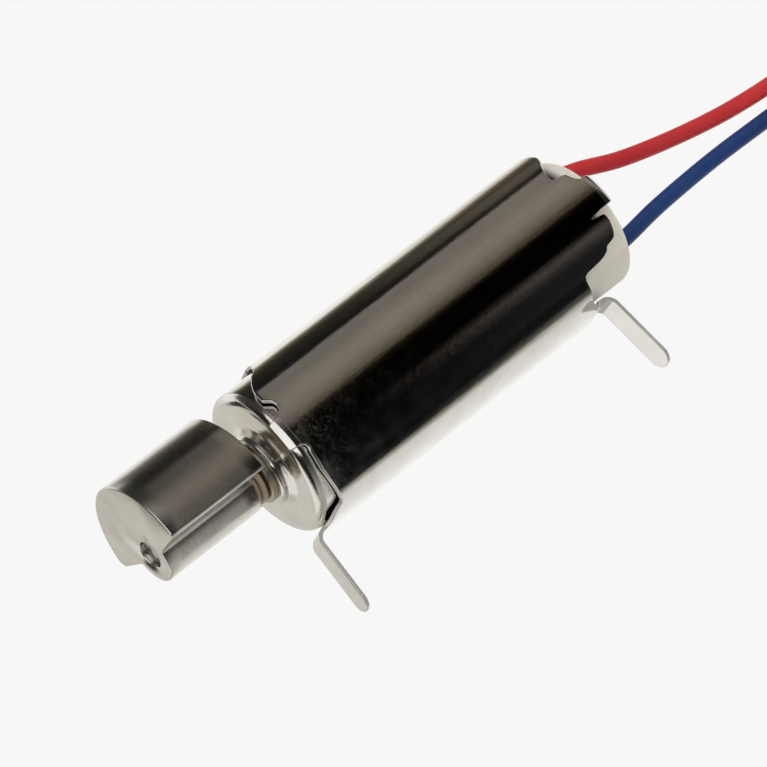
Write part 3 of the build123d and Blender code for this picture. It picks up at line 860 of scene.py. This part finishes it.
def sleeve_ring(phi, side):
    """Section of the sheet along X: outer face, rear end, inner face, front end."""
    front_x, front_soft = sleeve_end(phi, FRONT)
    rear_x, rear_soft = sleeve_end(phi, REAR)
    front_limit, rear_limit = 1.60, 8.95    # the plain middle lies between these
    stations = (list(front_x + (front_limit - front_x) * np.linspace(0, 1, 32))
                + list(np.linspace(front_limit, rear_limit, 24)[1:-1])
                + list(rear_limit + (rear_x - rear_limit) * np.linspace(0, 1, 40)))
    pairs = [sheet_point(x, side, phi, FRONT if x < 5 else REAR) for x in stations]
    points = np.array([point for point, _ in pairs])
    normals = np.array([normal for _, normal in pairs])
    rearward = points[-1] - points[-2]
    rearward /= np.linalg.norm(rearward)
    forward = np.array((-1.0, 0, 0))
    ring = [tuple(v) for v in points + normals * HALF]
    ring += rounded_end(points[-1], normals[-1], rearward, HALF, rear_soft, rear_soft)
    ring += [tuple(v) for v in (points - normals * HALF)[::-1]]
    ring += rounded_end(points[0], -normals[0], forward, HALF, front_soft, front_soft)
    return ring


def build_bracket():
    verts = []
    rings = [add_ring(verts, sleeve_ring(abs(a), 1.0 if a >= 0 else -1.0))
             for a in sleeve_angles()]
    faces = bridge(rings)
    count = (len(rings[0]) - 16) // 2       # stations on one face; 16 points are in the ends
    for ring in (rings[0], rings[-1]):
        faces += side_faces(ring, count - 1, 2 * count + 7)
    for end in (FRONT, REAR):
        for side in (1.0, -1.0):
            left, right = soft_sides(*TAB_SPAN[end], DEG_PER_MM)
            inner = [(phi, HALF) for phi in np.linspace(left[-1][0], right[0][0], 44)[1:-1]]
            add_strip(verts, faces, [(*tab_line(phi, side, end), half)
                                     for phi, half in left + inner + right])
        left, right = soft_sides(-LEG_HALF, LEG_HALF, 1.0)
        inner = [(right[0][0] * sin(radians(t)), HALF) for t in np.arange(-86, 87, 4)]
        add_strip(verts, faces, [(*leg_line(y, end), half) for y, half in left + inner + right])
    return make_object("sheet_bracket", verts, faces, 34)


def on_sheared_edge(poly):
    x, y, z = (v / MM for v in poly.center)
    _, normal_y, normal_z = poly.normal
    if z < -2.2 or (abs(y) < 0.45 and z < -1.8):
        return abs(normal_y) > 0.6
    return abs(normal_y * y + normal_z * z) / sqrt(y * y + z * z) < 0.5


bracket = build_bracket()
finish_piece(bracket, "stator", "mounting_bracket", "nickel_sheet")
# the sheared edges are duller than the rolled faces
bracket.data.materials.append(MATERIALS["sheet_edge"])
for poly in bracket.data.polygons:
    if on_sheared_edge(poly):
        poly.material_index = 1

# ------------------------------------------------------------------ end cap with its pockets
CAP_CORNER = 0.14
CAP_SKIRT_R_IN = 1.46
CAP_FRONT_X, CAP_FLOOR_X = 8.30, 9.75
POCKET_SIZE = (0.8, 1.04, 0.82)
POCKET_X, POCKET_Z = 10.85, 1.21        # centre; one pocket above the axis, one below
POCKET_CORNER = 0.12


def pocket_cutter(side):
    """Block with its four long edges (along X) rounded."""
    bm = bmesh.new()
    bmesh.ops.create_cube(bm, size=1.0)
    size_x, size_y, size_z = POCKET_SIZE
    for vert in bm.verts:
        x, y, z = vert.co
        vert.co = Vector((x * size_x + POCKET_X, y * size_y, z * size_z + side * POCKET_Z)) * MM
    along_x = [edge for edge in bm.edges
               if abs((edge.verts[0].co - edge.verts[1].co).normalized().x) > 0.9]
    bmesh.ops.bevel(bm, geom=along_x, offset=POCKET_CORNER * MM, segments=5, affect="EDGES",
                    profile=0.5)
    mesh = bpy.data.meshes.new("cut")
    bm.to_mesh(mesh)
    bm.free()
    return new_object("cut", mesh)


def build_cap():
    turns = [radians(t) for t in range(9, 91, 9)]
    profile = [
        (CAP_FRONT_X, CAP_SKIRT_R_IN), (CAP_FRONT_X, CAN_R_IN), (9.2, CAN_R_IN),
        (10.2, CAN_R_IN), (CAP_REAR_X - CAP_CORNER, CAN_R_IN),
        *[(CAP_REAR_X - CAP_CORNER + CAP_CORNER * sin(t),
           CAN_R_IN - CAP_CORNER + CAP_CORNER * cos(t)) for t in turns],
        (CAP_REAR_X, 1.4), (CAP_REAR_X, 0.8), (CAP_REAR_X, 0.002),
        (CAP_FLOOR_X, 0.002), (CAP_FLOOR_X, CAP_SKIRT_R_IN)]
    cap = lathe("cream_cap", profile, 192, 40)
    cutters = []
    for side in (1, -1):
        cutter = pocket_cutter(side)
        cutters.append(cutter)
        cut = cap.modifiers.new("cut", "BOOLEAN")
        cut.operation = "DIFFERENCE"
        cut.object = cutter
        cut.solver = "EXACT"
    bevel = cap.modifiers.new("soft", "BEVEL")
    bevel.width = 0.025 * MM
    bevel.segments = 2
    bevel.limit_method = "ANGLE"
    bevel.angle_limit = radians(50)
    mesh = evaluated_mesh(cap)
    cap.modifiers.clear()
    uncut = cap.data
    cap.data = mesh
    bpy.data.meshes.remove(uncut)
    for cutter in cutters:
        bpy.data.objects.remove(cutter)
    bm = bmesh.new()
    bm.from_mesh(mesh)
    shade(bm, 32)
    bm.to_mesh(mesh)
    bm.free()
    return cap


finish_piece(build_cap(), "stator", "end_cap", "cream_nylon")

# ------------------------------------------------------------------ leads
# centre lines in the XZ plane: (x, z)
LEADS = {
    "red": [(10.50, RED_EXIT_Z), (10.95, RED_EXIT_Z), (11.8, 1.09), (12.8, 0.69), (13.8, 0.405),
            (15.0, 0.14), (16.2, -0.06), (17.6, -0.19), (19.0, -0.225), (20.30, -0.22),
            (21.80, -0.22)],
    "blue": [(10.50, BLUE_EXIT_Z), (10.95, BLUE_EXIT_Z), (11.7, -1.01), (12.7, -0.905),
             (13.9, -0.845), (15.2, -0.82), (16.9, -0.85), (18.6, -0.89), (20.30, -0.90),
             (21.80, -0.90)]}
JACKET_SEEDS = {"red": 5, "blue": 9}
JACKET_R_OUT, JACKET_R_IN = 0.215, 0.108
STRAND_R = 0.036
STRAND_RING_R = 0.071           # six strands on this radius round a seventh
STRAND_TWIST = 1.6              # radians per millimetre


def catmull(stations, steps):
    """Catmull-Rom curve through the stations, as (x, 0, z) points."""
    p = np.array([(x, 0, z) for x, z in stations], float)
    p = np.vstack([2 * p[0] - p[1], p, 2 * p[-1] - p[-2]])
    curve = []
    for i in range(1, len(p) - 2):
        before, start, stop, after = p[i - 1:i + 3]
        for k in range(steps):
            t = k / steps
            curve.append(0.5 * ((2 * start) + (stop - before) * t
                                + (2 * before - 5 * start + 4 * stop - after) * t * t
                                + (3 * start - before - 3 * stop + after) * t ** 3))
    curve.append(p[-2])
    return curve


def build_strands(colour, stations):
    """The conductor: seven tinned wires laid round one another."""
    line = np.array(catmull(stations, 10))
    tangents = unit_tangents(line)
    lengths = np.linalg.norm(np.diff(line, axis=0), axis=1)
    run = np.concatenate([[0.0], np.cumsum(lengths)])
    places = np.linspace(0.0, run[-1], 200)
    wires = bpy.data.curves.new(f"{colour}_strands", "CURVE")
    wires.dimensions = "3D"
    wires.bevel_depth = STRAND_R * MM
    wires.bevel_resolution = 3
    wires.use_fill_caps = True
    for k in range(7):
        spline = wires.splines.new("POLY")
        spline.points.add(len(places) - 1)
        offset = 0.0 if k == 6 else STRAND_RING_R
        for i, place in enumerate(places):
            x, z = (np.interp(place, run, line[:, axis]) for axis in (0, 2))
            along_x, along_z = (np.interp(place, run, tangents[:, axis]) for axis in (0, 2))
            angle = 2 * pi * k / 6 + place * STRAND_TWIST
            sideways, upward = offset * cos(angle), offset * sin(angle)
            spline.points[i].co = ((x - along_z * upward) * MM, sideways * MM,
                                   (z + along_x * upward) * MM, 1)
    curve = new_object(f"{colour}_strand_curve", wires)
    mesh = evaluated_mesh(curve)
    bpy.data.objects.remove(curve)
    for poly in mesh.polygons:
        poly.use_smooth = True
    return new_object(f"{colour}_strand_bundle", mesh)


for colour, stations in LEADS.items():
    path = [p for p in catmull(stations, 14) if LEAD_START_X <= p[0] <= JACKET_END_X + 1e-6]
    jacket = sweep_tube(f"{colour}_lead_insulation", path, JACKET_R_OUT, JACKET_R_IN, seg=48,
                        rough=0.010, seed=JACKET_SEEDS[colour])
    finish_piece(jacket, "stator", f"lead_{colour}_jacket", f"{colour}_pvc")

for colour, stations in LEADS.items():
    finish_piece(build_strands(colour, stations), "stator", f"lead_{colour}_core",
                 "tinned_copper")

# ------------------------------------------------------------------ adhesive beads
# profile of a bead round its lead: (x, radius)
BEAD_PROFILE = [(LEAD_START_X, 0.22), (LEAD_START_X, 0.40), (10.91, 0.405), (10.95, 0.395),
                (11.00, 0.375), (11.06, 0.34), (11.12, 0.29), (11.17, 0.25), (11.22, 0.222)]
BEAD_R_IN = 0.218               # unevenness is measured outwards from here


def bead(name, centre_z, node, seed):
    seg = 64
    phases = np.random.RandomState(seed).rand(4) * 6.28
    verts, rings = [], []
    for j in range(seg):
        angle = 2 * pi * j / seg
        swell = 1 + 0.06 * sin(2 * angle + phases[0]) + 0.04 * sin(3 * angle + phases[1])
        points = []
        for i, (x, r) in enumerate(BEAD_PROFILE):
            radius = BEAD_R_IN + (r - BEAD_R_IN) * swell if i > 0 else r
            points.append((x, radius * sin(angle), centre_z + radius * cos(angle)))
        rings.append(add_ring(verts, points))
    piece = make_object(name, verts, bridge(rings + rings[:1]), 60)
    finish_piece(piece, "stator", node, "clear_adhesive")


bead("adhesive_bead_upper", RED_EXIT_Z, "adhesive_upper", seed=4)
bead("adhesive_bead_lower", BLUE_EXIT_Z, "adhesive_lower", seed=8)


# ------------------------------------------------------------------ floor
def floor_material():
    """Pale and matt; it can't be seen from below."""
    m = new_material("floor_pale")
    cloud = m.noise(m.coords(), scale=0.08, detail=3, rough=0.5)
    m.set(Base_Color=m.mix(m.remap(cloud, span=MIDDLE), (0.86, 0.86, 0.85), (0.88, 0.88, 0.87)),
          Roughness=0.7)
    geometry = m.node("ShaderNodeNewGeometry")
    clear = m.node("ShaderNodeBsdfTransparent")
    choice = m.node("ShaderNodeMixShader")
    m.link(geometry.outputs["Backfacing"], choice.inputs[0])
    m.link(m.shader.outputs[0], choice.inputs[1])
    m.link(clear.outputs[0], choice.inputs[2])
    m.link(choice.outputs[0], m.output.inputs[0])


bm = bmesh.new()
bmesh.ops.create_grid(bm, x_segments=8, y_segments=8, size=0.7)
floor_mesh = bpy.data.meshes.new("floor")
bm.to_mesh(floor_mesh)
bm.free()
floor = new_object("floor", floor_mesh)
floor.location = (0.005, 0, BRACKET_LOW_Z * MM)
floor_material()
floor.data.materials.append(MATERIALS["floor_pale"])
floor.visible_glossy = False

# ------------------------------------------------------------------ light (metres and watts)
key_light = bpy.data.lights.new("soft_key", "AREA")
key_light.shape = "DISK"
key_light.size = 0.10
key_light.energy = 0.020
key = new_object("soft_key", key_light)
key.location = (-0.03, -0.09, 0.10)
key.rotation_mode = "QUATERNION"
key_target = Vector((0.004, 0, 0))
key.rotation_quaternion = (key_target - key.location).to_track_quat("-Z", "Y")
key.visible_glossy = False

# ------------------------------------------------------------------ world
# What reflections see, as rings of panels about the X axis. Rows are degrees, red, green, blue;
# 0 is up, 90 is near (-Y), 180 is down and -90 is far (+Y).

# seen by rays that lean least towards +X: mostly the front of the sleeve's near side
FRONT_PANELS = [
    (-180, 0, 0, 0), (-177, .006, .006, .006), (-174, .010, .010, .009),
    (-169, .012, .012, .010), (-164, .30, .29, .25), (-158, .70, .69, .64),
    (-140, .80, .79, .76), (-110, .95, .95, .93), (-60, .98, .97, .94), (-44, .90, .89, .83),
    (-35, .22, .20, .15), (-28, .06, .05, .035), (-18, .022, .020, .015), (-8, .016, .015, .013),
    (1, .010, .010, .010), (8, .012, .012, .011), (11, .17, .155, .145), (24, .165, .15, .125),
    (44, .22, .20, .17), (54, .215, .19, .16), (66, .165, .14, .11), (74, .10, .085, .062),
    (80, .010, .008, .004), (86, .0006, .0004, .0001), (119, .0008, .0008, .0008),
    (132, .0014, .0014, .002), (150, .002, .0022, .0026), (164, .003, .0035, .004),
    (168, .008, .008, .009), (176, .004, .004, .004), (180, .004, .004, .004)]
# seen by rays that lean further towards +X
REAR_PANELS = [
    (-180, .010, .010, .009), (-176, .05, .05, .043), (-170, .10, .10, .085),
    (-164, .50, .49, .43), (-158, .68, .67, .61), (-140, .80, .79, .75), (-110, .95, .95, .93),
    (-60, .92, .90, .85), (-46, .50, .47, .38), (-38, .14, .12, .085), (-28, .055, .045, .030),
    (-18, .095, .084, .066), (-8, .090, .076, .060), (1, .018, .015, .011),
    (5, .018, .015, .011), (9, .19, .17, .145), (24, .195, .17, .145), (44, .24, .21, .175),
    (54, .215, .19, .15), (66, .15, .12, .095), (74, .06, .048, .034), (80, .006, .004, .002),
    (86, .0004, .0003, .0002), (112, .0006, .0005, .0004), (117, .03, .026, .022),
    (122, .075, .065, .056), (128, .050, .044, .038), (138, .014, .0135, .014),
    (152, .012, .012, .0135), (163, .016, .015, .015), (170, .006, .006, .006),
    (180, .010, .009, .009)]
# plainer panels for the weight and the hub in front of the sleeve
WEIGHT_PANELS = [
    (-180, .66, .65, .62), (-158, .74, .73, .70), (-140, .82, .81, .78), (-110, .95, .95, .93),
    (-60, .98, .97, .94), (-50, .85, .84, .80), (-40, .10, .095, .08), (-30, .02, .02, .018),
    (20, .012, .012, .012), (34, .025, .025, .025), (46, .09, .085, .08), (58, .18, .165, .155),
    (72, .25, .23, .21), (86, .29, .27, .245), (98, .26, .25, .225), (108, .19, .185, .17),
    (116, .13, .13, .12), (128, .12, .12, .115), (140, .38, .37, .35), (152, .58, .57, .54),
    (180, .66, .65, .62)]
# the rest of the room: light above on the far side, dark near horizon, pale below
ROOM = [
    (-180, .42, .41, .39), (-150, .42, .41, .39), (-128, .46, .45, .42), (-104, .60, .59, .55),
    (-98, .64, .62, .575), (-66, .68, .66, .61), (-60, .75, .74, .71), (-40, .95, .94, .92),
    (-24, .92, .91, .88), (-14, .10, .095, .09), (0, .04, .04, .038), (30, .05, .048, .045),
    (40, .16, .15, .14), (58, .30, .28, .25), (70, .12, .11, .10), (82, .02, .02, .02),
    (116, .015, .015, .016), (136, .06, .06, .065), (156, .20, .20, .19), (180, .42, .41, .39)]

world = bpy.data.worlds.new("studio")
scene.world = world
world.use_nodes = True
world.cycles.sampling_method = "NONE"
w = Nodes(world.node_tree, "ShaderNodeOutputWorld", "ShaderNodeBackground")
split = w.node("ShaderNodeSeparateXYZ")
w.link(w.tex_coord.outputs["Generated"], split.inputs[0])
dir_x, dir_y, dir_z = split.outputs
about_x = w.math("ARCTAN2", w.math("MULTIPLY", dir_y, -1.0), dir_z)
turn = w.remap(about_x, span=(-pi, pi))


def panels(rows):
    return w.ramp(turn, [((angle + 180.0) / 360.0, colour) for angle, *colour in rows])


def reflections():
    rearward = w.remap(dir_x, span=(0.412, 0.452))
    sides = w.mix(rearward, panels(FRONT_PANELS), panels(REAR_PANELS))
    sides = w.mix(w.remap(dir_x, span=(0.368, 0.375), to=(1.0, 0.0)), sides,
                  panels(WEIGHT_PANELS))
    room = panels(ROOM)
    # dark ahead of the weight, except on the far side
    ahead = w.remap(dir_x, span=(-0.50, -0.68))
    dark = w.product(ahead, w.remap(dir_y, span=(0.35, 0.10)))
    room = w.mix(dark, room, (.018, .017, .016))
    # white screen ahead on the near side
    screen = w.product(w.remap(dir_x, span=(-0.30, -0.38)),
                       w.remap(about_x, span=(radians(36), radians(42))),
                       w.remap(about_x, span=(radians(120), radians(114))))
    room = w.mix(screen, room, (1.0, .99, .97))
    # ahead on the far side: dark above a line a little over the horizon, pale below it
    far_dark = w.product(w.remap(dir_x, span=(-0.44, -0.52)), w.remap(dir_y, span=(0.25, 0.35)),
                         w.remap(dir_z, span=(0.09, 0.12)))
    room = w.mix(far_dark, room, (.03, .028, .026))
    far_pale = w.product(w.remap(dir_x, span=(-0.50, -0.60)), w.remap(dir_y, span=(0.30, 0.45)),
                         w.remap(dir_z, span=(0.11, 0.08)))
    room = w.mix(far_pale, room, (.90, .89, .86))
    # the side panels fill a belt of directions leaning towards +X
    belt_start = w.remap(dir_x, span=(0.26, 0.34))
    belt_end = w.remap(dir_x, span=(0.50, 0.60), to=(1.0, 0.0))
    return w.mix(w.product(belt_start, belt_end), room, sides)


def soft_light():
    """Light for everything that scatters: brighter from above and from the near side."""
    level, rise, near_gain = 0.74, 0.22, -0.12
    slope = w.math("ADD", w.math("MULTIPLY", dir_z, rise), w.math("MULTIPLY", dir_y, near_gain))
    soft = w.math("ADD", slope, level)
    green_share, blue_share = 0.995, 0.98
    combine = w.node("ShaderNodeCombineColor")
    w.link(soft, combine.inputs[0])
    w.link(w.math("MULTIPLY", soft, green_share), combine.inputs[1])
    w.link(w.math("MULTIPLY", soft, blue_share), combine.inputs[2])
    return combine.outputs[0]


BACKDROP = (.930, .930, .925)   # what the camera sees directly
mirrored = reflections()
scattered = soft_light()
ray = w.node("ShaderNodeLightPath")
sky = w.mix(ray.outputs["Is Glossy Ray"], scattered, mirrored)
sky = w.mix(ray.outputs["Is Camera Ray"], sky, BACKDROP)
w.set(Color=sky, Strength=1.0)

# ------------------------------------------------------------------ camera
AZIMUTH, ELEVATION, ROLL = radians(-24.386), radians(-7.855), radians(-41.33)
DISTANCE = 111.368
SHIFT_RIGHT, SHIFT_UP = 2.891, 2.016    # the camera's place across its own view

back = Vector((sin(AZIMUTH) * cos(ELEVATION), -cos(AZIMUTH) * cos(ELEVATION), sin(ELEVATION)))
level_right = Vector((cos(AZIMUTH), sin(AZIMUTH), 0))
level_up = back.cross(level_right)
right = level_right * cos(ROLL) + level_up * sin(ROLL)
up = level_up * cos(ROLL) - level_right * sin(ROLL)
place = right * SHIFT_RIGHT + up * SHIFT_UP + back * DISTANCE
lens = bpy.data.cameras.new("camera")
lens.sensor_width = 36.0
lens.lens = 216.0610169
lens.clip_start = 0.001
lens.clip_end = 10.0
camera = bpy.data.objects.new("camera", lens)
turned = Matrix((right, up, back)).transposed()
camera.matrix_world = Matrix.Translation(place * MM) @ turned.to_4x4()
scene.collection.objects.link(camera)
scene.camera = camera
scene.view_settings.view_transform = "Standard"
scene.view_settings.look = "None"
